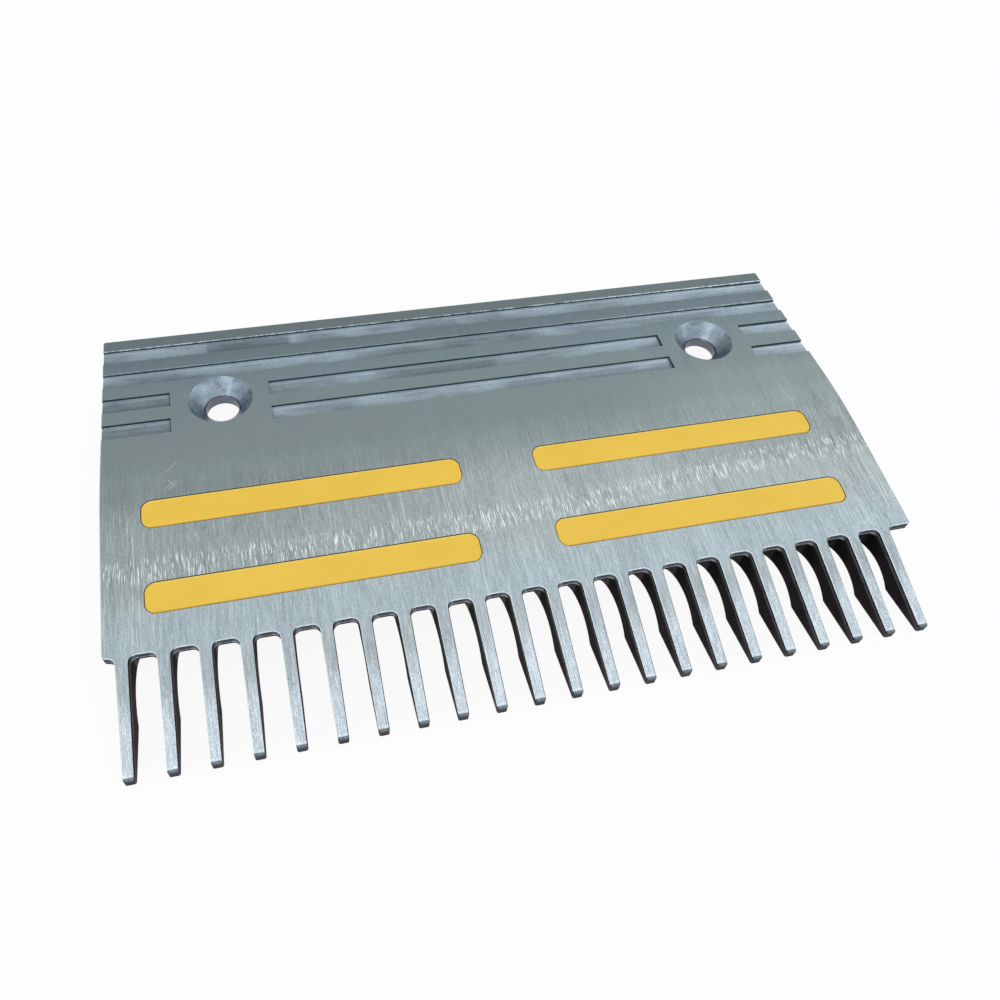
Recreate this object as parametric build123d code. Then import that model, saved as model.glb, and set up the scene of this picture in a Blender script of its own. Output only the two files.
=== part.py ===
"""Escalator comb plate: one aluminium casting with 22 teeth, and four plastic strips pegged into it."""

import math
import os

from build123d import *

os.makedirs("parts", exist_ok=True)

# Millimetres. X runs along the comb, the teeth point to -Y and +Z is up. The origin is on the mounting face,
# midway between the two fixing screws. Depths are measured down from the flat rear part of the top.

# Comb: the pitch is that of the step treads
tooth_count = 22
tooth_pitch = 9.068
tooth_length = 26.0
tooth_root_width = 3.0
tooth_tip_width = 2.45
tooth_tip_corner = 0.6
slot_root_corner = 1.8
comb_offset = -2.3

# Plate outline
plate_depth = 98.5
left_margin = 4.3
right_margin = 8.2
rear_corner = 0.6
front_left_corner = 1.2
front_right_corner = 0.6

# Side section, top: flat at the rear, bent down once, and bent again into the teeth
plate_thickness = 6.5
bend_to_root = 41.0
bend_radius = 160.0
front_slope = 7.1
root_to_tooth_bend = 1.7
tooth_bend_radius = 12.0
tip_top_depth = 11.95
top_edge_bevel = 0.18

# Side section, underside: tooth tip, knee, arch, ribs and the shoulder that meets the carrier
tip_height = 2.1
tip_bottom_bevel = 0.12
tip_to_knee = 13.4
knee_depth = 15.3
root_to_arch = 4.4
arch_depth = 12.3
root_to_rib_front = 5.2
rib_depth = 16.5
shoulder_to_root = 28.5
shoulder_wall = 6.0
root_lip_height = 2.3

# Fixing holes for countersunk M8 screws
hole_spacing = 142.0
rear_to_holes = 27.7
hole_diameter = 9.0
countersink_diameter = 17.2
countersink_angle = 90.0

# Anti-slip grooves: the last rows are split round the screws
full_groove_rows = 2
split_groove_rows = 2
rear_to_groove = 4.2
groove_pitch = 9.5
groove_width = 4.9
groove_depth = 0.85
screw_land = 26.4

# Plastic strips, two columns of two rows, each held by pegs that fall between the ribs
strip_length = 79.7
strip_width = 7.7
strip_corner = 2.6
strip_thickness = 1.8
strip_recess = 0.1
strip_clearance = 0.2
strip_columns_in_teeth = 11
strip_row_to_root = 13.0
strip_row_spacing = 22.35
peg_diameter = 3.2
peg_length = 2.2
peg_clearance = 0.1
peg_places_in_teeth = (-2.5, 2.5)

# Places worked out from the sizes above
top_z = plate_thickness
rear_y = rear_to_holes
root_y = rear_y - plate_depth
bend_y = root_y + bend_to_root
tip_y = root_y - tooth_length
tooth_bend_y = root_y - root_to_tooth_bend
shoulder_y = root_y + shoulder_to_root
channel_rear_y = shoulder_y - shoulder_wall
tooth_xs = [comb_offset + (i - (tooth_count - 1) / 2) * tooth_pitch for i in range(tooth_count)]
slot_xs = [x + tooth_pitch / 2 for x in tooth_xs[:-1]]
left_x = tooth_xs[0] - left_margin
right_x = tooth_xs[-1] + right_margin
width = right_x - left_x
strip_xs = [comb_offset + side * strip_columns_in_teeth * tooth_pitch / 2 for side in (-1, 1)]
strip_ys = [root_y + strip_row_to_root + strip_row_spacing, root_y + strip_row_to_root]

# Cutters run past the casting by this much, and a face that is no steeper than this counts as top
overrun = 5.0
steepest_top_angle = 25.0


def slope_z(y):
    """Height of the front slope's plane at y."""
    return top_z - math.tan(math.radians(front_slope)) * (bend_y - y)


def at(face, y, z):
    """The corner of a side section that lies at y, z."""
    return face.vertices().sort_by_distance(Vector(0, y, z))[0]


def across(section):
    """A side section carried across the whole width of the plate."""
    return Pos(left_x, 0, 0) * extrude(section, width, dir=(1, 0, 0))


def block(x0, x1, y0, y1, z0, z1):
    """A block between two corners."""
    middle = Pos((x0 + x1) / 2, (y0 + y1) / 2, (z0 + z1) / 2)
    return middle * Box(x1 - x0, y1 - y0, z1 - z0)


def bent_top(drop):
    """Everything under the plate's top surface, lowered by drop, as far as the tooth bend."""
    deep = top_z - rib_depth - overrun
    front_y = root_y - overrun
    corners = [
        (0, rear_y + overrun, top_z - drop),
        (0, bend_y, top_z - drop),
        (0, front_y, slope_z(front_y) - drop),
        (0, front_y, deep),
        (0, rear_y + overrun, deep),
    ]
    section = make_face(Polyline(*corners, close=True))
    section = fillet(at(section, bend_y, top_z - drop), bend_radius)
    return across(section)


def side_section():
    """The casting from the side: top surface, tooth, knee, arch, ribs, shoulder and mounting face."""
    tip_top = (0, tip_y, top_z - tip_top_depth)
    tip_bottom = (0, tip_y, top_z - tip_top_depth - tip_height)
    knee = (0, tip_y + tip_to_knee, top_z - knee_depth)
    arch = (0, root_y - root_to_arch, top_z - arch_depth)
    rib_front = (0, root_y + root_to_rib_front, top_z - rib_depth)
    tooth_bend = (0, tooth_bend_y, slope_z(tooth_bend_y))
    top = Polyline((0, rear_y, 0), (0, rear_y, top_z), (0, bend_y, top_z), tooth_bend, tip_top, tip_bottom, knee)
    bottom = Polyline(rib_front, (0, shoulder_y, top_z - rib_depth), (0, shoulder_y, 0), (0, rear_y, 0))
    section = make_face(top + ThreePointArc(knee, arch, rib_front) + bottom)
    section = fillet(at(section, bend_y, top_z), bend_radius)
    section = fillet(at(section, *tooth_bend[1:]), tooth_bend_radius)
    return chamfer(at(section, *tip_bottom[1:]), tip_bottom_bevel)


def tall(points):
    """A prism on an outline seen from above, taller than the casting."""
    base = top_z - rib_depth - overrun
    return Pos(0, 0, base) * extrude(make_face(Polyline(*points, close=True)), top_z + overrun - base)


def upright(solid, x, y):
    """The upright edge of a prism that stands nearest to x, y."""
    return solid.edges().filter_by(Axis.Z).sort_by_distance((x, y, solid.center().Z))[0]


def comb_prism():
    """The casting from above, as a prism: a plate with tapered slots cut in from the front."""
    far_y = tip_y - overrun
    taper = (tooth_root_width - tooth_tip_width) / 2 / tooth_length
    far_half = tooth_tip_width / 2 - taper * overrun
    root_half = tooth_root_width / 2
    prism = tall([(left_x, tip_y), (right_x, tip_y), (right_x, rear_y), (left_x, rear_y)])
    slot_half = tooth_pitch / 2 - root_half
    far_slot_half = tooth_pitch / 2 - far_half
    slot = tall([
        (-slot_half, root_y),
        (slot_half, root_y),
        (far_slot_half, far_y),
        (-far_slot_half, far_y),
    ])
    slot = fillet([upright(slot, side * slot_half, root_y) for side in (-1, 1)], slot_root_corner)
    prism -= [Pos(x, 0, 0) * slot for x in slot_xs]
    for side, edge_x, tooth_x in ((-1, left_x, tooth_xs[0]), (1, right_x, tooth_xs[-1])):
        root_x = tooth_x + side * root_half
        far_x = edge_x + side * overrun
        notch = tall([(root_x, root_y), (far_x, root_y), (far_x, far_y), (tooth_x + side * far_half, far_y)])
        prism -= fillet(upright(notch, root_x, root_y), slot_root_corner)
    prism = fillet([upright(prism, x, rear_y) for x in (left_x, right_x)], rear_corner)
    prism = fillet(upright(prism, left_x, root_y), front_left_corner)
    prism = fillet(upright(prism, right_x, root_y), front_right_corner)
    return fillet(prism.edges().filter_by(Axis.Z).group_by(Axis.Y)[0], tooth_tip_corner)


def rib_channels():
    """The spaces between the ribs, open to the front, and open to the side beyond the end ribs."""
    rib_half = tooth_root_width / 2
    ceiling_z = slope_z(root_y) - root_lip_height
    floor_z = top_z - rib_depth - overrun
    front_y = root_y - slot_root_corner
    edges = [left_x - overrun] + [x + side * rib_half for x in tooth_xs for side in (-1, 1)] + [right_x + overrun]
    spans = zip(edges[0::2], edges[1::2])
    return [block(x0, x1, front_y, channel_rear_y, floor_z, ceiling_z) for x0, x1 in spans]


def grooves():
    """The anti-slip grooves, with a land left round each screw in the rows beside it."""
    cutters = []
    for row in range(full_groove_rows + split_groove_rows):
        wall_y = rear_y - rear_to_groove - row * groove_pitch
        ends = [left_x - overrun, right_x + overrun]
        if row >= full_groove_rows:
            lands = [x + side * screw_land / 2 for x in (-hole_spacing / 2, hole_spacing / 2) for side in (-1, 1)]
            ends = [ends[0], *lands, ends[1]]
        for x0, x1 in zip(ends[0::2], ends[1::2]):
            cutters.append(block(x0, x1, wall_y - groove_width, wall_y, top_z - groove_depth, top_z + overrun))
    return cutters


def screw_holes():
    """A through hole with a countersink for each fixing screw."""
    radius = hole_diameter / 2
    rim = countersink_diameter / 2
    cone_depth = (rim - radius) / math.tan(math.radians(countersink_angle / 2))
    hole = Pos(0, 0, top_z / 2) * Cylinder(radius, top_z + 2 * overrun)
    cone = Pos(0, 0, top_z - cone_depth / 2) * Cone(radius, rim, cone_depth)
    lead = Pos(0, 0, top_z + overrun / 2) * Cylinder(rim, overrun)
    return [Pos(side * hole_spacing / 2, 0, 0) * (hole + cone + lead) for side in (-1, 1)]


def strip_prism(x, y, growth):
    """The strip's outline, grown all round, as a tall prism centred at x, y."""
    outline = RectangleRounded(strip_length + 2 * growth, strip_width + 2 * growth, strip_corner + growth)
    height = rib_depth + 2 * overrun
    return Pos(x, y, top_z + overrun - height) * extrude(outline, height)


def pegs(x, y, growth, length):
    """Pegs under the strip at x, y, grown in radius, from inside the strip down to length below its underside."""
    seat_z = min(top_z, slope_z(y)) - strip_recess - strip_thickness
    radius = peg_diameter / 2 + growth
    bottom_z = seat_z - length
    head_z = seat_z + strip_thickness / 2
    peg = Pos(0, 0, (head_z + bottom_z) / 2) * Cylinder(radius, head_z - bottom_z)
    return [Pos(x + place * tooth_pitch, y, 0) * peg for place in peg_places_in_teeth]


def strip(x, y):
    """One plastic strip that follows the plate's surface, with its pegs."""
    band = bent_top(strip_recess) - bent_top(strip_recess + strip_thickness)
    return (strip_prism(x, y, 0) & band) + pegs(x, y, 0, peg_length)


def strip_seats():
    """Pockets for the strips and sockets for their pegs."""
    cutters = []
    floor = bent_top(strip_recess + strip_thickness)
    for x in strip_xs:
        for y in strip_ys:
            cutters.append(strip_prism(x, y, strip_clearance) - floor)
            cutters += pegs(x, y, peg_clearance, peg_length + peg_clearance)
    return cutters


def top_rim(body):
    """The edges where the top surface meets a side, without the creases within the top."""
    least_rise = math.cos(math.radians(steepest_top_angle))
    tops = [f for f in body.faces() if f.normal_at().Z > least_rise]
    edges = [e for f in tops for e in f.edges()]
    return [e for e in edges if sum(e.is_same(other) for other in edges) == 1]


def comb_casting():
    """The whole casting: bevelled round its top edge, then grooved, drilled and pocketed."""
    body = comb_prism() & across(side_section())
    body -= rib_channels()
    body = chamfer(top_rim(body), top_edge_bevel)
    body -= grooves()
    body -= screw_holes()
    return body - strip_seats()


export_step(comb_casting(), "parts/comb_casting.step")
for column, x in zip(("left", "right"), strip_xs):
    for row, y in zip(("rear", "front"), strip_ys):
        export_step(strip(x, y), f"parts/strip_{row}_{column}.step")
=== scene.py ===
"""Looks of the escalator comb plate: linished aluminium, yellow plastic strips, soft light and camera."""

import math

import bpy
from mathutils import Matrix, Vector


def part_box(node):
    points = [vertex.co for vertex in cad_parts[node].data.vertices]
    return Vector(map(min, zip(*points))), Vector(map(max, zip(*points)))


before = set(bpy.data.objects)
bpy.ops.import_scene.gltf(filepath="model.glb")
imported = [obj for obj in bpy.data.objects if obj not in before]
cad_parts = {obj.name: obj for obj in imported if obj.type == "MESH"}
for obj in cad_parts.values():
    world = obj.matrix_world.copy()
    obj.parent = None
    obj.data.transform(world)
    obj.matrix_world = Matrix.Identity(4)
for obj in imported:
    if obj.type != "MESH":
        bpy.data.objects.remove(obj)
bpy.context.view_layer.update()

# Metres, in the casting's own frame: X along the comb, teeth towards -Y, +Z up, and the origin on the
# mounting face midway between the screw holes.
MM = 0.001
casting_low, casting_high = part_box("comb_casting")
left_x, tip_y, rib_bottom_z = casting_low
right_x, rear_y, top_z = casting_high
tooth_length = 26.0 * MM
root_y = tip_y + tooth_length

# Walking surface: flat at the rear, a slope in front of the bend, and the steeper tooth tops
bend_y = root_y + 41.0 * MM
bend_radius = 160.0 * MM
front_slope = math.radians(7.1)
tooth_bend_y = root_y - 1.7 * MM
tooth_bend_radius = 12.0 * MM
tip_top_z = top_z - 11.95 * MM
tooth_start_z = top_z - math.tan(front_slope) * (bend_y - tooth_bend_y)
tooth_slope = math.atan((tooth_start_z - tip_top_z) / (tooth_bend_y - tip_y))

# Screw holes and grooves
hole_spacing = 142.0 * MM
hole_radius = 4.5 * MM
countersink_radius = 8.6 * MM
grooves_from_y = -12 * MM
groove_depth = 0.85 * MM
groove_width = 4.9 * MM
groove_pitch = 9.5 * MM
rear_to_groove = 4.2 * MM
burred_rows = 2
burr_tilt = math.radians(13)
cutter_foot = 1.5 * MM
cutter_tilt = math.radians(13)
screw_land = 26.4 * MM
right_stub_x = (hole_spacing + screw_land) / 2

# Bands along X on the grooves' floors, a dull stretch and a painted shadow line, each with its middle, its
# half width and its soft edge
dull_stretch = (-62 * MM, 11 * MM, 1.5 * MM)
stub_end_shadow_line = (-right_stub_x - 0.15 * MM, 0.15 * MM, 0.1 * MM)

# Darker patch in the middle of the grooves' floors: half its size along X and Y, and its middle's Y
middle_patch = (27 * MM, 10 * MM)
middle_patch_y = 6.5 * MM

# Where the painted highlight at the rear groove's right end begins
highlight_end_x = 62 * MM

# Bands along Y on the walking surface, each with its middle, its half width and its soft edge
left_dull_band = (-43 * MM, 12 * MM, 7 * MM)
right_dull_band = (-40 * MM, 3 * MM, 5 * MM)
right_bright_band = (-20 * MM, 4 * MM, 7 * MM)
# A painted highlight line behind the tips
tip_highlight_line = (tip_y + 1.05 * MM, 0.1 * MM, 0.25 * MM)

# The painted glint band's half width and soft edge, and the Y from which and to which the tips turn grey in
# painted shade
glint_band_size = (1.6 * MM, 2.6 * MM)
tip_shade_y = (tip_y + 0.85 * MM, tip_y + 0.65 * MM)

# Painted sheen and highlight lines on the walls at the front: how far below the walking surface, half width
# and soft edge
slot_sheen_line = (1.2 * MM, 0.2 * MM, 0.5 * MM)
lip_highlight_line = (1.6 * MM, 0.12 * MM, 0.12 * MM)

# The depth below the walking surface from which and to which the lip turns dark in painted shade
lip_shade_depth = (1.72 * MM, 1.85 * MM)

# Scuffs on the flat in front of the left screw hole: each stroke's middle, half length and turn from +X
scuff_strokes = (
    ((-84.3 * MM, -21.9 * MM), 1.85 * MM, math.radians(47)),
    ((-84.8 * MM, -27.5 * MM), 1.65 * MM, math.radians(39)),
    ((-84.3 * MM, -28.1 * MM), 1.2 * MM, math.radians(39)),
    ((-84.6 * MM, -27.2 * MM), 1.2 * MM, math.radians(-58)),
)
scuff_half_width = 0.07 * MM
scuff_end_fade = 0.4 * MM
scuff_side_fade = 0.15 * MM

# Camera, found from the photograph on the teeth, edges, grooves and screw holes together
camera_place = Vector((-53.79, -169.65, 174.89)) * MM
camera_azimuth = math.radians(-16.61)
camera_elevation = math.radians(52.38)
camera_roll = math.radians(4.83)
focal_length_px = 847.4
optical_centre_px = (452.4, 500.0)
picture_px = 1000
sensor_mm = 36.0

# Soft dome: from and to which Y of the sky's direction the light changes, and the share at each of the two
dome_steps = (
    (-0.3, 0.3, 1.06, 0.92),
    (0.29, 0.43, 0.0, -0.26),
    (0.43, 0.60, 0.0, -0.19),
    (0.60, 0.85, 0.0, -0.03),
    (-0.3, -1.0, 0.0, -0.55),
)
dome_gain_to_right = 0.1

# Bright window in the dome behind the viewer: its middle, half width and soft edge in the sky's direction
window_y = (-0.48, 0.08, 0.1)
window_x = (-0.36, 0.2, 0.15)
window_gain = 1.5

# Lamp and floor
lamp_place = Vector((0.2, -0.1, 1.8))
lamp_aim = Vector((0.0, -0.05, 0.0))
lamp_size = 2.5
lamp_watts = 3.0
floor_half = 3.0
floor_glow = 0.92

# Wings that stand outside the first and the last tooth
wing_width = (3.2 * MM, 6.6 * MM)

# How far inside the plate's ends and rear a wall counts as an inner one, and a small clearance
side_margin = 0.5 * MM
hair = 0.02 * MM

# Patches, lines and grains: their size along X, Y and Z
belt_drift = (9 * MM, 14 * MM, 14 * MM)
skin_blotch = (4 * MM, 4 * MM, 3 * MM)
cone_cloud = (3 * MM, 3 * MM, 2 * MM)
cone_grain = (0.45 * MM, 0.45 * MM, 0.45 * MM)
groove_patch = (22 * MM, 9 * MM, 5 * MM)
milling_line = (9 * MM, 0.35 * MM, 5 * MM)
milling_grain = (0.6 * MM, 0.6 * MM, 0.6 * MM)
burr_break = (5 * MM, 60 * MM, 60 * MM)
burr_dot = (0.8 * MM, 60 * MM, 60 * MM)
strip_cloud = (14 * MM, 6 * MM, 6 * MM)
strip_grain = (0.25 * MM, 0.25 * MM, 0.25 * MM)

# Roughness
skin_rough = 0.55
slot_rough = 0.8
groove_rough = 0.45
cone_rough = 0.34
strip_rough = 0.5
floor_rough = 0.9
top_rough = (0.40, 0.32)

# Colours in linear light
top_colour = (0.42, 0.49, 0.485)
slope_tint = (1.05, 1.0, 1.0)
# Painted reflection: a bluish tint at the rear and before the teeth
bluish_reflection_tint = (0.94, 1.0, 1.09)
# Teeth darker at the root and brighter to the tips: partly wear, partly painted light
tooth_root_wear_and_shade = (0.89, 0.847, 0.835)
tooth_tip_wear_and_light = (1.195, 1.14, 1.166)
# Painted glints and sparkles, and the scratches, nicks and scuffs
glint_and_scratch_colour = (0.96, 0.98, 0.98, 1.0)
# Burr, painted bright as its highlight
burr_highlight_colour = (0.83, 0.93, 0.98, 1.0)
# Broken edge round the top: painted highlight, and painted shade where it faces right
rim_highlight = (0.88, 0.92, 0.94, 1.0)
rim_shade = (0.05, 0.048, 0.055, 1.0)
groove_dull = (0.455, 0.54, 0.60, 1.0)
groove_bright = (0.63, 0.75, 0.82, 1.0)
# Painted highlight at the foot of the grooves' rear walls
groove_foot_highlight = (0.80, 0.88, 0.93, 1.0)
# Painted shade on the grooves' walls and a painted shadow line at the left stubs' right end
groove_wall_shade = (0.065, 0.09, 0.12, 1.0)
cone_dull = (0.21, 0.258, 0.305, 1.0)
cone_bright = (0.38, 0.445, 0.51, 1.0)
seam_dark = (0.11, 0.12, 0.14, 1.0)
hole_grey = (0.15, 0.165, 0.20, 1.0)
# Between the teeth: painted shadow line under the top edge, painted shade, painted brown reflection, painted
# light near the tips, painted sheen
slot_edge_shadow = (0.011, 0.019, 0.030, 1.0)
slot_shade_black = (0.024, 0.020, 0.027, 1.0)
slot_brown_blotch_and_reflection = (0.062, 0.032, 0.030, 1.0)
slot_lit_near_tips = (0.12, 0.095, 0.10, 1.0)
slot_sheen = (0.165, 0.18, 0.20, 1.0)
lip_grey = (0.20, 0.225, 0.265, 1.0)
# Lip: painted highlight line and painted shade below it
lip_highlight = (0.60, 0.63, 0.66, 1.0)
lip_lower_shade = (0.045, 0.045, 0.055, 1.0)
# Tips: painted shade on the rim and on the front face, lighter at the face's top
tip_rim_shade = (0.165, 0.182, 0.212, 1.0)
tip_face_pale_shade = (0.125, 0.132, 0.145, 1.0)
tip_face_dark_shade = (0.075, 0.076, 0.08, 1.0)
cast_dull = (0.17, 0.175, 0.18, 1.0)
cast_bright = (0.26, 0.265, 0.27, 1.0)
strip_yellow = (0.885, 0.547, 0.050, 1.0)
strip_light = (0.92, 0.578, 0.061, 1.0)
# Strips: painted shade along the front edge, painted highlight along the rear edge
strip_front_edge_shade = (0.55, 0.30, 0.05, 1.0)
strip_rear_edge_highlight = (0.93, 0.72, 0.22, 1.0)
floor_grey = (0.9, 0.9, 0.9, 1.0)
dome_colour = (0.95, 1.0, 1.03, 1.0)
pure_white = (1.0, 1.0, 1.0, 1.0)


class Nodes:
    """Adds nodes to one node tree. A socket is given a plain value or another node's output."""

    def __init__(self, tree):
        self.tree = tree

    def add(self, kind, *inputs, out=0, sockets=None, **settings):
        node = self.tree.nodes.new("ShaderNode" + kind)
        for name, value in settings.items():
            setattr(node, name, value)
        given = dict(enumerate(inputs))
        given.update(sockets or {})
        for key, value in given.items():
            if isinstance(value, bpy.types.NodeSocket):
                self.tree.links.new(value, node.inputs[key])
            elif value is not None:
                node.inputs[key].default_value = value
        return node if out is None else node.outputs[out]

    def math(self, operation, a, b=None, c=None, clamp=False):
        return self.add("Math", a, b, c, operation=operation, use_clamp=clamp)

    def ramp(self, value, low, high, to_low=0.0, to_high=1.0, smooth=True):
        """Maps low..high to to_low..to_high, held at both ends."""
        kind = "SMOOTHSTEP" if smooth else "LINEAR"
        return self.add("MapRange", value, low, high, to_low, to_high, interpolation_type=kind)

    def mix(self, factor, a, b):
        """A colour between a and b."""
        node = self.add("Mix", out=None, data_type="RGBA", clamp_factor=True)
        for socket, value in ((node.inputs[0], factor), (node.inputs[6], a), (node.inputs[7], b)):
            if isinstance(value, bpy.types.NodeSocket):
                self.tree.links.new(value, socket)
            else:
                socket.default_value = value
        return node.outputs[2]

    def mix_vector(self, factor, a, b):
        """A direction between a and b."""
        node = self.add("Mix", out=None, data_type="VECTOR", clamp_factor=True)
        for socket, value in ((node.inputs[0], factor), (node.inputs[4], a), (node.inputs[5], b)):
            self.tree.links.new(value, socket)
        return node.outputs[1]

    def scaled(self, colour, share):
        """A colour times another, channel by channel."""
        return self.add("VectorMath", colour, share, operation="MULTIPLY")

    def tint(self, colour, shade):
        """A colour times one number."""
        return self.scaled(colour, self.add("CombineXYZ", shade, shade, shade))

    def mix_value(self, factor, a, b):
        """A number between a and b."""
        return self.add("Mix", factor, None, a, b, data_type="FLOAT", clamp_factor=True)

    def noise(self, vector, scale, detail=2.0, roughness=0.5):
        return self.add("TexNoise", sockets={"Vector": vector, "Scale": scale, "Detail": detail,
                                             "Roughness": roughness})

    def stretched(self, vector, size, offset=(0.0, 0.0, 0.0)):
        """The position measured in grains of the given size along X, Y and Z."""
        scaled = self.add("VectorMath", vector, size, operation="DIVIDE")
        return self.add("VectorMath", scaled, offset, operation="ADD")


def new_group(name, inputs, outputs):
    """A node group with its input and output sockets; each is (name, kind, default) or (name, kind)."""
    tree = bpy.data.node_groups.new(name, "ShaderNodeTree")
    for socket_name, kind, default in inputs:
        socket = tree.interface.new_socket(socket_name, in_out="INPUT", socket_type="NodeSocket" + kind)
        if default is not None:
            socket.default_value = default
    for socket_name, kind in outputs:
        tree.interface.new_socket(socket_name, in_out="OUTPUT", socket_type="NodeSocket" + kind)
    entry = tree.nodes.new("NodeGroupInput")
    leave = tree.nodes.new("NodeGroupOutput")
    return tree, Nodes(tree), entry.outputs, leave.inputs


def use_group(nodes, tree, **sockets):
    """Places a node group and returns its outputs; underscores in a socket's name stand for spaces."""
    node = nodes.add("Group", out=None, node_tree=tree)
    for name, value in sockets.items():
        socket = node.inputs[name.replace("_", " ")]
        if isinstance(value, bpy.types.NodeSocket):
            nodes.tree.links.new(value, socket)
        else:
            socket.default_value = value
    return node.outputs


def brush_lines_group():
    """Fine lines left by the abrasive belt, front to back, with grains, long scratches and masks for painted
    glints and sparkles.
    """
    tree, n, given, result = new_group(
        "brush_lines",
        [("Position", "Vector", None), ("Line Width", "Float", 0.2 * MM), ("Line Length", "Float", 5 * MM),
         ("Wander", "Float", 0.8 * MM)],
        [(name, "Float") for name in ("Height", "Tone", "Broad", "Glints", "Sparkles", "Scratches")],
    )
    drift = n.noise(n.stretched(given["Position"], belt_drift), 1.0, 1.0)
    aside = n.math("MULTIPLY", n.math("SUBTRACT", drift, 0.5), given["Wander"])
    place = n.add("VectorMath", given["Position"], n.add("CombineXYZ", aside, 0.0, 0.0), operation="ADD")
    line = n.add("CombineXYZ", given["Line Width"], given["Line Length"], given["Line Length"])

    def streaks(wider, longer, offset, detail, roughness):
        size = n.add("VectorMath", line, (wider, longer, longer), operation="MULTIPLY")
        return n.noise(n.stretched(place, size, offset), 1.0, detail, roughness)

    fine = streaks(1.0, 1.0, (0.0, 0.0, 0.0), 2.0, 0.6)
    wide = streaks(3.5, 2.5, (7.3, 1.9, 4.4), 2.0, 0.5)
    broad = streaks(35.0, 9.0, (6.2, 0.8, 3.3), 2.0, 0.6)
    grain = streaks(1.1, 0.1, (5.1, 3.6, 9.2), 1.0, 0.5)
    short = streaks(1.4, 0.55, (2.7, 8.1, 5.2), 1.0, 0.5)
    long = streaks(1.1, 4.0, (1.4, 6.6, 2.3), 1.0, 0.5)
    lines = n.math("ADD", n.math("MULTIPLY", fine, 0.42), n.math("MULTIPLY", wide, 0.2))
    both = n.math("ADD", lines, n.math("MULTIPLY", grain, 0.38))
    n.tree.links.new(both, result["Height"])
    n.tree.links.new(n.ramp(both, 0.36, 0.64, smooth=False), result["Tone"])
    n.tree.links.new(n.ramp(broad, 0.3, 0.7, smooth=False), result["Broad"])
    # Mask for painted glints
    n.tree.links.new(n.ramp(n.mix_value(0.3, short, fine), 0.53, 0.64), result["Glints"])
    # Mask for painted sparkles
    n.tree.links.new(n.ramp(grain, 0.55, 0.68), result["Sparkles"])
    n.tree.links.new(n.ramp(long, 0.68, 0.76), result["Scratches"])
    return tree


def patches_group():
    """Cloudy patches of handling, oxide and dust, with soft or crisp borders."""
    tree, n, given, result = new_group(
        "cloudy_patches",
        [("Position", "Vector", None), ("Patch Size", "Vector", (6 * MM, 6 * MM, 6 * MM)),
         ("Border", "Float", 0.1)],
        [("Mask", "Float")],
    )
    patch = n.noise(n.stretched(given["Position"], given["Patch Size"], (3.1, 8.7, 2.2)), 1.0, 3.0, 0.5)
    low, high = n.math("SUBTRACT", 0.5, given["Border"]), n.math("ADD", 0.5, given["Border"])
    n.tree.links.new(n.ramp(patch, low, high), result["Mask"])
    return tree


def band_group():
    """A soft-edged band: 1 within the half width of the centre."""
    tree, n, given, result = new_group(
        "soft_band",
        [("Value", "Float", 0.0), ("Centre", "Float", 0.0), ("Half Width", "Float", 0.1 * MM),
         ("Edge", "Float", 0.05 * MM)],
        [("Mask", "Float")],
    )
    away = n.math("ABSOLUTE", n.math("SUBTRACT", given["Value"], given["Centre"]))
    outer = n.math("ADD", given["Half Width"], given["Edge"])
    n.tree.links.new(n.ramp(away, given["Half Width"], outer, 1.0, 0.0), result["Mask"])
    return tree


def specks_group():
    """Sparse specks of dust and tiny nicks."""
    tree, n, given, result = new_group(
        "specks",
        [("Position", "Vector", None), ("Spacing", "Float", 3 * MM), ("Speck Size", "Float", 0.2 * MM)],
        [("Mask", "Float")],
    )
    cell = n.add("VectorMath", given["Position"], given["Spacing"], operation="DIVIDE")
    dots = n.add("TexVoronoi", out=None, feature="F1", sockets={"Vector": cell, "Scale": 1.0})
    away = n.math("MULTIPLY", dots.outputs["Distance"], given["Spacing"])
    chance = n.add("SeparateColor", dots.outputs["Color"], out=None).outputs
    size = n.math("MULTIPLY", given["Speck Size"], n.ramp(chance[0], 0.7, 1.0))
    n.tree.links.new(n.ramp(n.math("SUBTRACT", away, size), 0.0, 0.08 * MM, 1.0, 0.0), result["Mask"])
    return tree


def places_group():
    """How far a point lies below the walking surface, and how far it lies from the nearest screw's axis."""
    tree, n, given, result = new_group(
        "plate_places", [("Position", "Vector", None)], [("Depth", "Float"), ("Screw Distance", "Float")]
    )
    place = n.add("SeparateXYZ", given["Position"], out=None).outputs
    slope_fall = n.math("MULTIPLY", n.math("SUBTRACT", bend_y, place[1]), math.tan(front_slope))
    slope = n.math("SUBTRACT", top_z, slope_fall)
    tooth_fall = n.math("MULTIPLY", n.math("SUBTRACT", tooth_bend_y, place[1]), math.tan(tooth_slope))
    tooth = n.math("SUBTRACT", tooth_start_z, tooth_fall)
    surface = n.math("MINIMUM", top_z, n.math("MINIMUM", slope, tooth))
    n.tree.links.new(n.math("SUBTRACT", surface, place[2]), result["Depth"])
    beside = n.math("SUBTRACT", n.math("ABSOLUTE", place[0]), hole_spacing / 2)
    flat = n.add("CombineXYZ", beside, place[1], 0.0)
    n.tree.links.new(n.add("VectorMath", flat, operation="LENGTH", out=1), result["Screw Distance"])
    return tree


brush_lines = brush_lines_group()
cloudy_patches = patches_group()
soft_band = band_group()
specks = specks_group()
plate_places = places_group()


def band_mask(n, value, centre, half_width, edge):
    """1 within a soft-edged band of a value, and 0 away from it."""
    return use_group(n, soft_band, Value=value, Centre=centre, Half_Width=half_width, Edge=edge)["Mask"]


def patch_mask(n, place, size, border):
    """Cloudy patches of the given size along X, Y and Z."""
    return use_group(n, cloudy_patches, Position=place, Patch_Size=size, Border=border)["Mask"]


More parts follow.
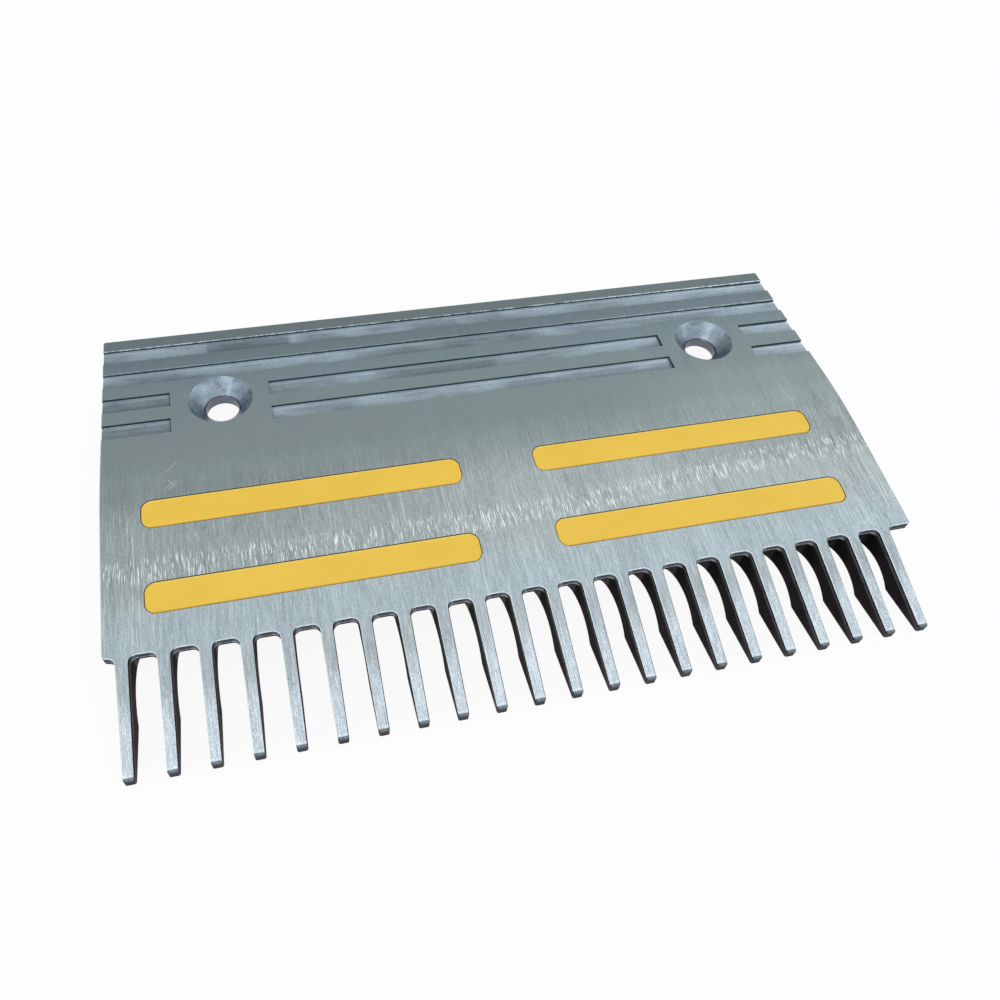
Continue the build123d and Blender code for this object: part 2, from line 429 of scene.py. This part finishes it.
def new_material(name):
    material = bpy.data.materials.new(name)
    material.use_nodes = True
    material.node_tree.nodes.clear()
    nodes = Nodes(material.node_tree)
    surface = nodes.add("BsdfPrincipled", out=None)
    output = nodes.add("OutputMaterial", out=None)
    material.node_tree.links.new(surface.outputs[0], output.inputs["Surface"])
    return material, nodes, surface


def feed(nodes, surface, **sockets):
    """Links outputs to the shader's sockets, or sets plain values; underscores stand for spaces."""
    for name, value in sockets.items():
        socket = surface.inputs[name.replace("_", " ")]
        if isinstance(value, bpy.types.NodeSocket):
            nodes.tree.links.new(value, socket)
        else:
            socket.default_value = value


def rolled_normal(n, y):
    """The walking surface's own direction: level, then turned by the two bends to the slopes in front."""
    bend_half = bend_radius * math.tan(front_slope / 2)
    tooth_half = tooth_bend_radius * math.tan((tooth_slope - front_slope) / 2)
    first = n.ramp(y, bend_y + bend_half, bend_y - bend_half, 0.0, front_slope, smooth=False)
    second = n.ramp(y, tooth_bend_y + tooth_half, tooth_bend_y - tooth_half, 0.0, tooth_slope - front_slope,
                    smooth=False)
    angle = n.math("ADD", first, second)
    return n.add("CombineXYZ", 0.0, n.math("MULTIPLY", n.math("SINE", angle), -1.0), n.math("COSINE", angle))


def top_tint_and_painted_light(n, colour, y):
    """Painted bluish reflection at the rear and before the teeth, teeth brighter to the tips from wear and
    painted light, painted shade at the rear.
    """
    colour = n.mix_vector(n.ramp(y, bend_y + 5 * MM, bend_y - 8 * MM), colour, n.scaled(colour, slope_tint))
    # Painted bluish reflection at the rear and before the teeth
    rear_reflection_tint = n.math("MULTIPLY", n.ramp(y, -12 * MM, 8 * MM), n.ramp(y, 20 * MM, 24 * MM, 1.0, 0.4))
    root_reflection_tint = n.math("MULTIPLY", n.ramp(y, root_y + 14 * MM, root_y + 4 * MM), 0.8)
    colour = n.mix_vector(n.math("MAXIMUM", rear_reflection_tint, root_reflection_tint), colour, n.scaled(colour, bluish_reflection_tint))
    # Teeth brighter to the tips: partly wear, partly painted light
    worn_and_lit = n.ramp(y, root_y - 8 * MM, root_y - 17 * MM)
    tooth = n.mix_vector(worn_and_lit, n.scaled(colour, tooth_root_wear_and_shade), n.scaled(colour, tooth_tip_wear_and_light))
    colour = n.mix_vector(n.ramp(y, root_y, root_y - 3 * MM), colour, tooth)
    # Painted shade: darker towards the rear
    return n.tint(colour, n.ramp(y, 1 * MM, 25 * MM, 1.0, 0.755))


# Bands of darker and lighter tone across the walking surface
def duller_and_brighter_bands(n, colour, xyz):
    """Duller round the bend on the left and behind the glints on the right, brighter at the right rear."""
    on_bend = band_mask(n, xyz[1], *left_dull_band)
    duller = n.math("MULTIPLY", on_bend, n.ramp(xyz[0], -75 * MM, 30 * MM, 0.16, 0.02))
    behind_glints = band_mask(n, xyz[1], *right_dull_band)
    duller = n.math("MULTIPLY_ADD", behind_glints, n.ramp(xyz[0], 28 * MM, 75 * MM, 0.0, 0.16), duller)
    at_right_rear = band_mask(n, xyz[1], *right_bright_band)
    brighter = n.math("MULTIPLY", at_right_rear, n.ramp(xyz[0], 25 * MM, 85 * MM, 0.0, 0.13))
    return n.tint(colour, n.math("ADD", n.math("SUBTRACT", 1.0, duller), brighter))


def tip_painted_shade(n, colour, y):
    """Painted shade: a grey band along each tooth's front edge, with a painted highlight line behind it."""
    colour = n.tint(colour, n.ramp(y, *tip_shade_y, 1.0, 0.32))
    line = band_mask(n, y, *tip_highlight_line)
    return n.tint(colour, n.math("ADD", n.math("MULTIPLY", line, 0.15), 1.0))


def scuffs(n, xyz):
    """Short crossed scratches on the flat."""
    mask = 0.0
    for (middle_x, middle_y), half_length, turn in scuff_strokes:
        beside, behind = n.math("SUBTRACT", xyz[0], middle_x), n.math("SUBTRACT", xyz[1], middle_y)
        away = n.add("CombineXYZ", beside, behind, 0.0)
        cos_turn, sin_turn = math.cos(turn), math.sin(turn)
        along = n.add("VectorMath", away, (cos_turn, sin_turn, 0.0), operation="DOT_PRODUCT", out=1)
        aside = n.add("VectorMath", away, (-sin_turn, cos_turn, 0.0), operation="DOT_PRODUCT", out=1)
        length = band_mask(n, along, 0.0, half_length, scuff_end_fade)
        width = band_mask(n, aside, 0.0, scuff_half_width, scuff_side_fade)
        mask = n.math("MAXIMUM", n.math("MULTIPLY", length, width), mask)
    return mask


def brushed_top(n, place, xyz, lines):
    """Colour and roughness of the linished walking surface: its lines show most on the front slope, with
    painted glints and sparkles.
    """
    at_rear = n.ramp(xyz[0], 20 * MM, 75 * MM, 0.22, 0.5)
    coarse = n.ramp(xyz[1], bend_y + 15 * MM, bend_y - 4 * MM, at_rear, 1.0)
    uneven = n.math("ADD", n.ramp(lines["Tone"], 0.0, 1.0, -0.27, 0.27, smooth=False),
                    n.ramp(lines["Broad"], 0.0, 1.0, -0.07, 0.07, smooth=False))
    coarse = n.math("MULTIPLY", coarse, n.ramp(xyz[0], right_x - 25 * MM, right_x - 8 * MM, 1.0, 1.35))
    # Painted glints: bright dashes in a band on the slope, with stronger line contrast in it
    band_y = n.ramp(xyz[0], 0.0, right_x - 10 * MM, root_y + 20 * MM, root_y + 26.5 * MM)
    glint_band = band_mask(n, xyz[1], band_y, *glint_band_size)
    coarse = n.math("MULTIPLY_ADD", glint_band, 0.4, coarse)
    shade = n.math("MULTIPLY_ADD", uneven, coarse, 1.0)
    colour = duller_and_brighter_bands(n, top_tint_and_painted_light(n, n.tint(top_colour, shade), xyz[1]), xyz)
    slope = n.ramp(xyz[1], bend_y + 2 * MM, bend_y - 6 * MM, 0.0, 0.14)
    on_teeth = n.ramp(xyz[1], root_y - 6 * MM, root_y - 17 * MM, 0.0, 0.35)
    elsewhere = n.math("MULTIPLY_ADD", on_teeth, 0.7, slope)
    glint_share = n.mix_value(glint_band, elsewhere, 0.85)
    colour = n.mix(n.math("MULTIPLY", lines["Glints"], glint_share), colour, glint_and_scratch_colour)
    # Painted sparkles on the teeth
    colour = n.mix(n.math("MULTIPLY", lines["Sparkles"], on_teeth), colour, glint_and_scratch_colour)
    scratch_share = n.math("MULTIPLY", slope, 4.0)
    colour = n.mix(n.math("MULTIPLY", lines["Scratches"], scratch_share), colour, glint_and_scratch_colour)
    nicks = use_group(n, specks, Position=place, Spacing=9 * MM, Speck_Size=0.2 * MM)["Mask"]
    colour = n.mix(n.math("MULTIPLY", nicks, 0.5), colour, glint_and_scratch_colour)
    colour = n.mix(n.math("MULTIPLY", scuffs(n, xyz), 0.4), colour, glint_and_scratch_colour)
    rough = n.add("MapRange", lines["Tone"], 0.0, 1.0, *top_rough)
    return tip_painted_shade(n, colour, xyz[1]), rough


def burr_and_highlight_lines(n, xyz, depth):
    """Burr along the rear edges of the two full-width grooves, painted bright as its highlight, broken in the
    middle of the plate.
    """
    mask = 0.0
    for row in range(burred_rows):
        edge_y = rear_y - rear_to_groove - row * groove_pitch
        band = band_mask(n, xyz[1], edge_y + 0.1 * MM, 0.15 * MM, 0.1 * MM)
        mask = n.math("MAXIMUM", n.math("MULTIPLY", band, 1.0 - 0.45 * row), mask)
    shallow = n.ramp(depth, 0.08 * MM, 0.2 * MM, 1.0, 0.0)
    place = n.add("CombineXYZ", *xyz)
    broken = n.noise(n.stretched(place, burr_break), 1.0, 2.0, 0.5)
    towards_ends = n.ramp(n.math("ABSOLUTE", xyz[0]), 25 * MM, 55 * MM, 0.0, 0.25)
    kept = n.ramp(n.math("ADD", broken, towards_ends), 0.38, 0.52, 0.25, 1.0)
    kept = n.math("MULTIPLY", kept, n.ramp(xyz[0], 25 * MM, 75 * MM, 0.7, 1.0))
    dots = n.noise(n.stretched(place, burr_dot, (4.0, 1.0, 7.0)), 1.0, 1.0)
    kept = n.math("MULTIPLY", kept, n.ramp(dots, 0.4, 0.55, 0.55, 1.0))
    return n.math("MULTIPLY", n.math("MULTIPLY", mask, shallow), kept)


def from_rear_wall(n, y):
    """How far a point of a groove's floor lies from the groove's rear wall."""
    return n.math("FLOORED_MODULO", n.math("SUBTRACT", rear_y - rear_to_groove, y), groove_pitch)


def floor_stretches(n, colour, xyz):
    """Darker and lighter stretches of the grooves' floors: darker in the middle, a dull stretch and a painted
    highlight at the rear groove's right end, darker left stubs.
    """
    beside = n.math("DIVIDE", xyz[0], middle_patch[0])
    behind = n.math("DIVIDE", n.math("SUBTRACT", xyz[1], middle_patch_y), middle_patch[1])
    away = n.add("VectorMath", n.add("CombineXYZ", beside, behind, 0.0), operation="LENGTH", out=1)
    colour = n.tint(colour, n.ramp(away, 0.75, 1.15, 0.78, 1.0))
    rear_groove = n.math("GREATER_THAN", xyz[1], rear_y - rear_to_groove - 0.8 * groove_pitch)
    stretch = band_mask(n, xyz[0], *dull_stretch)
    dull = n.math("MULTIPLY", stretch, -0.34)
    # Painted highlight at the rear groove's right end
    bright = n.ramp(xyz[0], highlight_end_x, highlight_end_x + 8 * MM, 0.0, 0.24)
    colour = n.tint(colour, n.math("MULTIPLY_ADD", n.math("ADD", dull, bright), rear_groove, 1.0))
    to_left, to_front = n.ramp(xyz[0], -50 * MM, -80 * MM), n.ramp(xyz[1], 16 * MM, 5 * MM)
    left_stubs = n.math("MULTIPLY", to_left, to_front)
    return n.tint(colour, n.ramp(left_stubs, 0.0, 1.0, 1.0, 0.64))


def groove_floor(n, place, xyz):
    """Milled floors of the grooves: bluish, in patches, finely mottled, with lines along the groove, a
    painted highlight at the rear wall's foot, painted shade towards the front wall and a painted shadow line
    at the left stubs' right end.
    """
    stretches = patch_mask(n, place, groove_patch, 0.08)
    milling = n.noise(n.stretched(place, milling_line), 1.0, 2.0)
    mottle = n.noise(n.stretched(place, milling_grain), 1.0, 2.0)
    milled, mottled = n.ramp(milling, 0.3, 0.7, 0.94, 1.06), n.ramp(mottle, 0.3, 0.7, 0.92, 1.08)
    uneven = n.math("MULTIPLY", milled, mottled)
    colour = floor_stretches(n, n.tint(n.mix(stretches, groove_dull, groove_bright), uneven), xyz)
    # Painted highlight at the foot of the rear wall, painted shade towards the front wall
    from_wall = from_rear_wall(n, xyz[1])
    foot_share = n.ramp(xyz[0], 30 * MM, 65 * MM, 0.4, 0.75)
    foot = n.math("MULTIPLY", n.ramp(from_wall, 0.0, cutter_foot, 1.0, 0.0, smooth=False), foot_share)
    front = n.ramp(from_wall, 0.35 * groove_width, 0.9 * groove_width, 1.0, 0.73)
    colour = n.tint(n.mix(foot, colour, groove_foot_highlight), front)
    # Painted shadow line at the left stubs' right end
    stub_end_shadow = band_mask(n, xyz[0], *stub_end_shadow_line)
    inner_rows = n.math("LESS_THAN", xyz[1], rear_y - rear_to_groove - 1.7 * groove_pitch)
    return n.mix(n.math("MULTIPLY", stub_end_shadow, inner_rows), colour, groove_wall_shade)


def cutter_radius(n, y):
    """The floor's direction where the cutter's corner turns it up towards the groove's rear wall."""
    angle = n.ramp(from_rear_wall(n, y), 0.0, cutter_foot, cutter_tilt, 0.0, smooth=False)
    return n.add("CombineXYZ", 0.0, n.math("MULTIPLY", n.math("SINE", angle), -1.0), n.math("COSINE", angle))


def groove_wall(n, x, facing, depth):
    """Walls of the grooves: painted shade, with a painted highlight at the foot of the long walls where the
    cutter left its radius.
    """
    long_wall = n.math("GREATER_THAN", n.math("ABSOLUTE", facing[1]), 0.7)
    foot = n.math("MULTIPLY", n.math("MULTIPLY", long_wall, n.math("LESS_THAN", x, right_stub_x)), 0.7)
    # Painted highlight at the foot of the long walls
    low = n.ramp(depth, 0.55 * MM, 0.75 * MM)
    return n.mix(n.math("MULTIPLY", low, foot), groove_wall_shade, groove_foot_highlight)


def countersink(n, place, distance, steep):
    """Turned cone with a dull mottled skin, a dark seam where it meets the hole, and the hole's grey wall."""
    clouds = patch_mask(n, place, cone_cloud, 0.3)
    grain = n.noise(n.stretched(place, cone_grain), 1.0, 2.0)
    cone = n.tint(n.mix(clouds, cone_dull, cone_bright), n.ramp(grain, 0.3, 0.7, 0.84, 1.16))
    seam = band_mask(n, distance, hole_radius + 0.2 * MM, 0.12 * MM, 0.15 * MM)
    cone = n.mix(seam, cone, seam_dark)
    return n.mix(steep, cone, hole_grey)


def slot_walls(n, place, xyz, facing, depth):
    """Walls between the teeth: painted shade near black, painted brown reflection where they face right and
    brown blotches, a painted sheen line under the top, a painted shadow line at the top edge, painted light
    towards the tips and painted shade under the lip.
    """
    blotches = patch_mask(n, place, skin_blotch, 0.2)
    # Brown: painted reflection on walls facing right, and brown blotches
    brown = n.math("MAXIMUM", n.math("MULTIPLY", blotches, 0.45), n.ramp(facing[0], 0.3, 0.7))
    colour = n.mix(brown, slot_shade_black, slot_brown_blotch_and_reflection)
    # Painted sheen line under the top
    sheen = band_mask(n, depth, *slot_sheen_line)
    colour = n.mix(n.math("MULTIPLY", sheen, n.ramp(blotches, 0.0, 1.0, 0.5, 0.95)), colour, slot_sheen)
    # Painted light towards the tips
    colour = n.mix(n.ramp(xyz[1], tip_y + 9 * MM, tip_y, 0.0, 0.6), colour, slot_lit_near_tips)
    # Painted shadow line under the top edge
    colour = n.mix(n.ramp(depth, 0.45 * MM, 0.7 * MM, 0.85, 0.0), colour, slot_edge_shadow)
    # Painted shade under the lip
    low, near_root = n.ramp(depth, 2.2 * MM, 3.2 * MM), n.ramp(xyz[1], root_y - 7 * MM, root_y - 2 * MM)
    shade_under_lip = n.math("MULTIPLY", low, near_root)
    return n.tint(colour, n.ramp(shade_under_lip, 0.0, 1.0, 1.0, 0.35))


def lip_walls(n, x, depth):
    """Front faces of the lip between the teeth: grey-blue, a painted highlight line, painted shade below it,
    and darker on the wings.
    """
    # Painted highlight line, and painted shade below it
    pale = band_mask(n, depth, *lip_highlight_line)
    colour = n.mix(n.ramp(depth, *lip_shade_depth), lip_grey, lip_lower_shade)
    colour = n.mix(pale, colour, lip_highlight)
    left_wing = n.math("LESS_THAN", x, left_x + wing_width[0])
    right_wing = n.math("GREATER_THAN", x, right_x - wing_width[1])
    return n.tint(colour, n.ramp(n.math("ADD", left_wing, right_wing), 0.0, 1.0, 1.0, 0.5))


def skin_and_painted_shade(n, place, xyz, facing, depth, inside):
    """As-cast skin: painted shade near black between the teeth and under their arches, grey-blue on the front
    lip, grey elsewhere.
    """
    between_teeth = slot_walls(n, place, xyz, facing, depth)
    forward = n.ramp(facing[1], -0.45, -0.8)
    on_lip = n.math("MULTIPLY", forward, n.ramp(depth, 2.4 * MM, 2.7 * MM, 1.0, 0.0))
    between_teeth = n.mix(on_lip, between_teeth, lip_walls(n, xyz[0], depth))
    # Painted shade on the tips' front faces, lighter at the top
    tip_face = n.mix(n.ramp(depth, 0.15 * MM, 1.0 * MM), tip_face_pale_shade, tip_face_dark_shade)
    at_tip = n.math("MULTIPLY", forward, n.math("LESS_THAN", xyz[1], tip_y + 1.5 * MM))
    between_teeth = n.mix(at_tip, between_teeth, tip_face)
    blotches = patch_mask(n, place, skin_blotch, 0.2)
    plain = n.mix(blotches, cast_dull, cast_bright)
    # Painted shade under the teeth's arches
    deep = n.math("MULTIPLY", inside, n.ramp(depth, 2.2 * MM, 2.6 * MM))
    arches = n.math("MULTIPLY", deep, n.ramp(xyz[1], root_y + 15 * MM, root_y + 9 * MM))
    near_teeth = n.math("MAXIMUM", n.ramp(xyz[1], root_y + 6 * MM, root_y + 1 * MM), arches)
    return n.mix(near_teeth, plain, between_teeth)


def rim_highlight_and_shade(n, y, facing):
    """The broken edge round the top: a painted highlight, painted shade where it faces right and grey painted
    shade at the tips.
    """
    colour = n.mix(n.ramp(facing[0], 0.25, 0.5), rim_highlight, rim_shade)
    return n.mix(n.ramp(y, *tip_shade_y), colour, tip_rim_shade)


def casting_material():
    """Aluminium: linished top, milled grooves, turned countersinks, as-cast skin at the teeth and below, with
    painted light and shade on the top, the edges and the walls.
    """
    material, n, surface = new_material("cast_aluminium")
    place = n.add("TexCoord", out="Object")
    xyz = n.add("SeparateXYZ", place, out=None).outputs
    normal = n.add("NewGeometry", out="Normal")
    facing = n.add("SeparateXYZ", normal, out=None).outputs
    where = use_group(n, plate_places, Position=place)
    depth, screw_distance = where["Depth"], where["Screw Distance"]
    lines = use_group(n, brush_lines, Position=place, Line_Width=0.18 * MM, Line_Length=5 * MM,
                      Wander=1.0 * MM)

    up = n.ramp(facing[2], 0.86, 0.93)
    steep = n.ramp(n.math("ABSOLUTE", facing[2]), 0.35, 0.25)
    rim = n.math("MULTIPLY", n.ramp(facing[2], 0.45, 0.55), n.ramp(depth, 0.6 * MM, 0.45 * MM))
    among_grooves = n.math("GREATER_THAN", xyz[1], grooves_from_y)
    sunk = n.ramp(depth, 0.4 * groove_depth, 0.7 * groove_depth)
    in_grooves = n.math("MULTIPLY", among_grooves, n.math("MULTIPLY", up, sunk))
    inside_left = n.math("GREATER_THAN", xyz[0], left_x + side_margin)
    inside_right = n.math("LESS_THAN", xyz[0], right_x - side_margin)
    inside_rear = n.math("LESS_THAN", xyz[1], rear_y - side_margin)
    inside = n.math("MULTIPLY", n.math("MULTIPLY", inside_left, inside_right), inside_rear)
    walled = n.math("MULTIPLY", steep, n.math("LESS_THAN", depth, groove_depth + hair))
    on_groove_walls = n.math("MULTIPLY", n.math("MULTIPLY", among_grooves, inside), walled)
    in_countersink = n.math("LESS_THAN", screw_distance, countersink_radius - hair)
    between_teeth = n.math("LESS_THAN", xyz[1], root_y + 1 * MM)

    colour = skin_and_painted_shade(n, place, xyz, facing, depth, inside)
    # Painted highlight and shade on the broken edge round the top
    colour = n.mix(rim, colour, rim_highlight_and_shade(n, xyz[1], facing))
    top, rough_top = brushed_top(n, place, xyz, lines)
    colour = n.mix(up, colour, top)
    colour = n.mix(in_grooves, colour, groove_floor(n, place, xyz))
    colour = n.mix(on_groove_walls, colour, groove_wall(n, xyz[0], facing, depth))
    burr_and_highlight = burr_and_highlight_lines(n, xyz, depth)
    # The burr painted bright as its highlight
    colour = n.mix(burr_and_highlight, colour, burr_highlight_colour)
    colour = n.mix(in_countersink, colour, countersink(n, place, screw_distance, steep))

    rough = n.mix_value(up, n.mix_value(between_teeth, skin_rough, slot_rough), rough_top)
    rough = n.mix_value(in_grooves, rough, groove_rough)
    rough = n.mix_value(in_countersink, rough, cone_rough)

    rolled = rolled_normal(n, xyz[1])
    base = n.mix_vector(n.math("MAXIMUM", up, n.math("MULTIPLY", rim, 0.7)), normal, rolled)
    base = n.mix_vector(in_grooves, base, cutter_radius(n, xyz[1]))
    base = n.mix_vector(burr_and_highlight, base, n.add("CombineXYZ", 0.0, -math.sin(burr_tilt), math.cos(burr_tilt)))
    base = n.mix_vector(in_countersink, base, normal)
    line_bump = n.add("Bump", sockets={"Height": lines["Height"], "Strength": n.math("MULTIPLY", up, 0.3),
                                       "Distance": 0.03 * MM, "Normal": base})

    # The sheen runs across the belt lines; a small share of X keeps a direction on faces that look along Y.
    across = n.add("VectorMath", (0.0, 1.0, 0.0), normal, operation="CROSS_PRODUCT")
    tangent = n.add("VectorMath", across, (0.01, 0.0, 0.0), operation="ADD")
    tangent = n.mix_vector(in_countersink, tangent, n.add("CombineXYZ", 0.0, 0.0, 1.0))
    feed(n, surface, Base_Color=colour, Metallic=1.0, Roughness=rough, Normal=line_bump, Anisotropic=0.6,
         Tangent=tangent)
    return material


def strip_material():
    """Yellow moulded plastic, satin, with brownish painted shade along the front edge and a paler painted
    highlight along the rear edge.
    """
    material, n, surface = new_material("yellow_plastic")
    place = n.add("TexCoord", out="Object")
    within = n.add("SeparateXYZ", n.add("TexCoord", out="Generated"), out=None).outputs
    clouds = patch_mask(n, place, strip_cloud, 0.25)
    colour = n.mix(clouds, strip_yellow, strip_light)
    # Painted shade along the front edge, painted highlight along the rear edge
    colour = n.mix(n.ramp(within[1], 0.05, 0.02, 0.0, 0.7), colour, strip_front_edge_shade)
    colour = n.mix(n.ramp(within[1], 0.92, 0.98, 0.0, 0.4), colour, strip_rear_edge_highlight)
    grain = n.noise(n.stretched(place, strip_grain), 1.0, 2.0)
    bump = n.add("Bump", sockets={"Height": grain, "Strength": 0.15, "Distance": 0.02 * MM})
    feed(n, surface, Base_Color=colour, Roughness=strip_rough, Normal=bump)
    return material


def floor_material():
    """A white floor: seen as white by the camera and in reflections, with the object's soft shadow kept."""
    material, n, surface = new_material("pale_floor")
    feed(n, surface, Base_Color=floor_grey, Roughness=floor_rough)
    glow = n.add("Emission", pure_white, 1.0)
    rays = n.add("LightPath", out=None).outputs
    seen = n.math("MAXIMUM", rays["Is Camera Ray"], rays["Is Glossy Ray"])
    share = n.math("MULTIPLY", seen, floor_glow)
    blend = n.add("MixShader", share, surface.outputs[0], glow)
    output = next(node for node in n.tree.nodes if node.type == "OUTPUT_MATERIAL")
    n.tree.links.new(blend, output.inputs["Surface"])
    return material


def dress_nodes():
    """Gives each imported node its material."""
    casting, strip = casting_material(), strip_material()
    for name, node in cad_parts.items():
        finish = casting if name == "comb_casting" else strip
        for slot in node.material_slots:
            slot.material = finish


def make_floor():
    """A level floor that the ribs and the shoulder wall rest on."""
    corners = [(-floor_half, -floor_half), (floor_half, -floor_half), (floor_half, floor_half),
               (-floor_half, floor_half)]
    mesh = bpy.data.meshes.new("floor")
    mesh.from_pydata([(x, y, rib_bottom_z) for x, y in corners], [], [(0, 1, 2, 3)])
    floor = bpy.data.objects.new("floor", mesh)
    bpy.context.scene.collection.objects.link(floor)
    floor.data.materials.append(floor_material())


def make_camera():
    """The photograph's viewpoint."""
    cos_a, sin_a = math.cos(camera_azimuth), math.sin(camera_azimuth)
    cos_e, sin_e = math.cos(camera_elevation), math.sin(camera_elevation)
    back = Vector((sin_a * cos_e, -cos_a * cos_e, sin_e))
    level_right = Vector((cos_a, sin_a, 0.0))
    level_up = back.cross(level_right)
    right = math.cos(camera_roll) * level_right + math.sin(camera_roll) * level_up
    up = back.cross(right)
    data = bpy.data.cameras.new("camera")
    data.sensor_width = sensor_mm
    data.lens = focal_length_px / picture_px * sensor_mm
    data.shift_x = 0.5 - optical_centre_px[0] / picture_px
    data.shift_y = optical_centre_px[1] / picture_px - 0.5
    data.clip_start = 0.01
    camera = bpy.data.objects.new("camera", data)
    bpy.context.scene.collection.objects.link(camera)
    camera.matrix_world = Matrix.Translation(camera_place) @ Matrix((right, up, back)).transposed().to_4x4()
    bpy.context.scene.camera = camera


def make_lamp():
    """One large soft box overhead, turned towards the plate."""
    data = bpy.data.lights.new("soft_box", "AREA")
    data.shape = "RECTANGLE"
    data.size, data.size_y = lamp_size, lamp_size
    data.energy = lamp_watts
    lamp = bpy.data.objects.new("soft_box", data)
    bpy.context.scene.collection.objects.link(lamp)
    lamp.location = lamp_place
    lamp.rotation_euler = (lamp_aim - lamp_place).to_track_quat("-Z", "Y").to_euler()


def make_world():
    """A soft dome with a bright window behind the viewer, darker to the rear and low in front."""
    world = bpy.data.worlds.new("studio")
    bpy.context.scene.world = world
    world.use_nodes = True
    world.node_tree.nodes.clear()
    n = Nodes(world.node_tree)
    direction = n.add("SeparateXYZ", n.add("TexCoord", out="Generated"), out=None).outputs
    level = n.math("MULTIPLY", direction["X"], dome_gain_to_right)
    for near, far, at_near, at_far in dome_steps:
        level = n.math("ADD", level, n.ramp(direction["Y"], near, far, at_near, at_far, smooth=False))
    along_y = band_mask(n, direction["Y"], *window_y)
    along_x = band_mask(n, direction["X"], *window_x)
    level = n.math("MULTIPLY_ADD", n.math("MULTIPLY", along_y, along_x), window_gain, level)
    light = n.add("Background", dome_colour, level)
    white = n.add("Background", pure_white, 1.0)
    seen = n.add("LightPath", out="Is Camera Ray")
    blend = n.add("MixShader", seen, light, white)
    output = n.add("OutputWorld", out=None)
    n.tree.links.new(blend, output.inputs["Surface"])


dress_nodes()
make_floor()
make_camera()
make_lamp()
make_world()
bpy.context.scene.view_settings.view_transform = "Standard"
